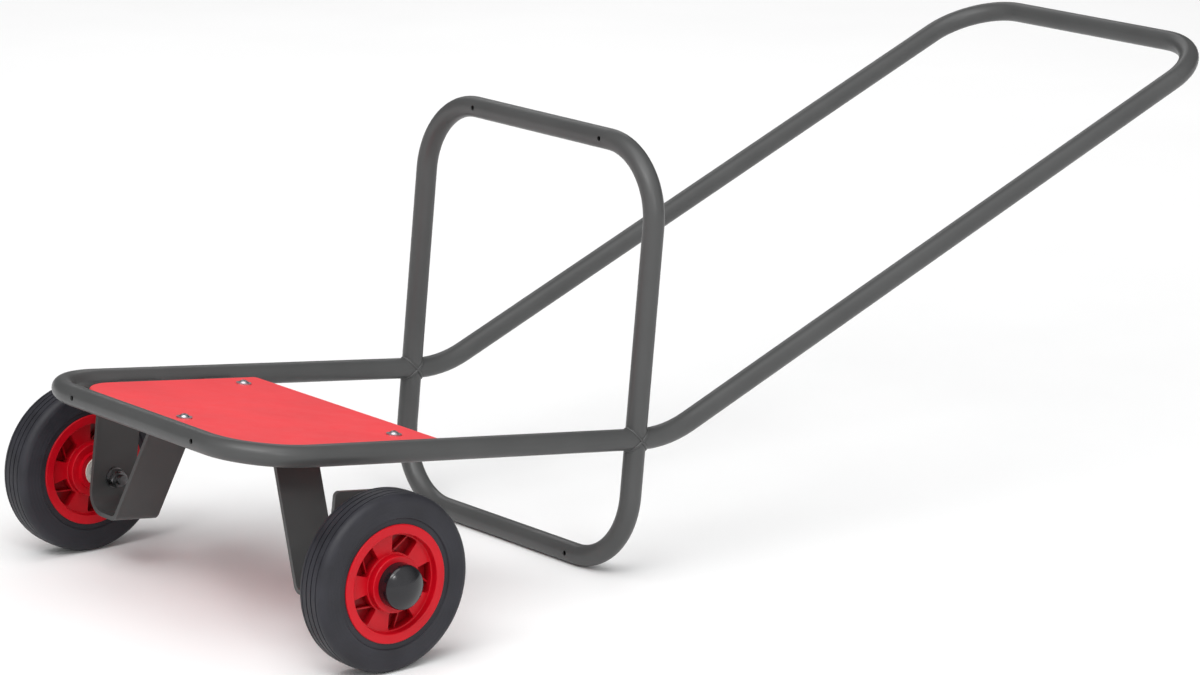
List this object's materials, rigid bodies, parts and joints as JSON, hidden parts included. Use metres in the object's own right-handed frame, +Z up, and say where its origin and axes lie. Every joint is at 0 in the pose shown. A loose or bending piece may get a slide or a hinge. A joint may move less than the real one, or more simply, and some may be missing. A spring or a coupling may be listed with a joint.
{
  "type": "platform cart",
  "caption": "Two-wheel hand cart of bent steel tube: low platform with a deck plate, upright support hoop, long raked handle hoop and solid tyres.",
  "frame": {"origin": "on the ground, under the middle of the cart's overall length and width", "axes": "+X from the front bar towards the handle, +Y across the cart, +Z up"},
  "size_m": [1.5058, 0.6842, 0.5249],
  "materials": {
    "frame_paint": "satin graphite powder coat",
    "deck_paint": "satin red powder coat",
    "hub_plastic": "moulded red plastic, semi-gloss",
    "tyre_rubber": "black rubber, matt",
    "cap_plastic": "glossy black plastic",
    "bush_nylon": "natural nylon",
    "zinc": "bright zinc plated steel",
    "dark_steel": "dark phosphated steel"
  },
  "bodies": {
    "frame": {"platform_hoop": "frame_paint", "support_hoop": "frame_paint", "handle_hoop": "frame_paint", "cross_member_front": "frame_paint", "cross_strap_rear": "frame_paint", "deck_tab_front": "frame_paint", "deck_plate": "deck_paint", "deck_screws": "zinc", "deck_washers": "zinc", "deck_nuts": "zinc", "wheel_bracket_left": "frame_paint", "axle_bolt_left": "dark_steel", "axle_nut_left": "dark_steel", "nut_washer_left": "dark_steel", "axle_spacer_left": "zinc", "inner_washer_left": "zinc", "bearing_sleeve_left": "zinc", "outer_washer_left": "zinc", "wheel_bracket_right": "frame_paint", "axle_bolt_right": "dark_steel", "axle_nut_right": "dark_steel", "nut_washer_right": "dark_steel", "axle_spacer_right": "zinc", "inner_washer_right": "zinc", "bearing_sleeve_right": "zinc", "outer_washer_right": "zinc"},
    "wheel_left": {"wheel_hub_left": "hub_plastic", "tyre_left": "tyre_rubber", "bush_inner_left": "bush_nylon", "bush_outer_left": "bush_nylon", "hub_cap_left": "cap_plastic"},
    "wheel_right": {"wheel_hub_right": "hub_plastic", "tyre_right": "tyre_rubber", "bush_inner_right": "bush_nylon", "bush_outer_right": "bush_nylon", "hub_cap_right": "cap_plastic"}
  },
  "joints": [
    {"name": "wheel_left_spin", "type": "hinge", "parent": "frame", "child": "wheel_left", "pos_m": [-0.62644, -0.2946, 0.1], "axis": [0, 1, 0], "continuous": true},
    {"name": "wheel_right_spin", "type": "hinge", "parent": "frame", "child": "wheel_right", "pos_m": [-0.62644, 0.2946, 0.1], "axis": [0, 1, 0], "continuous": true}
  ]
}
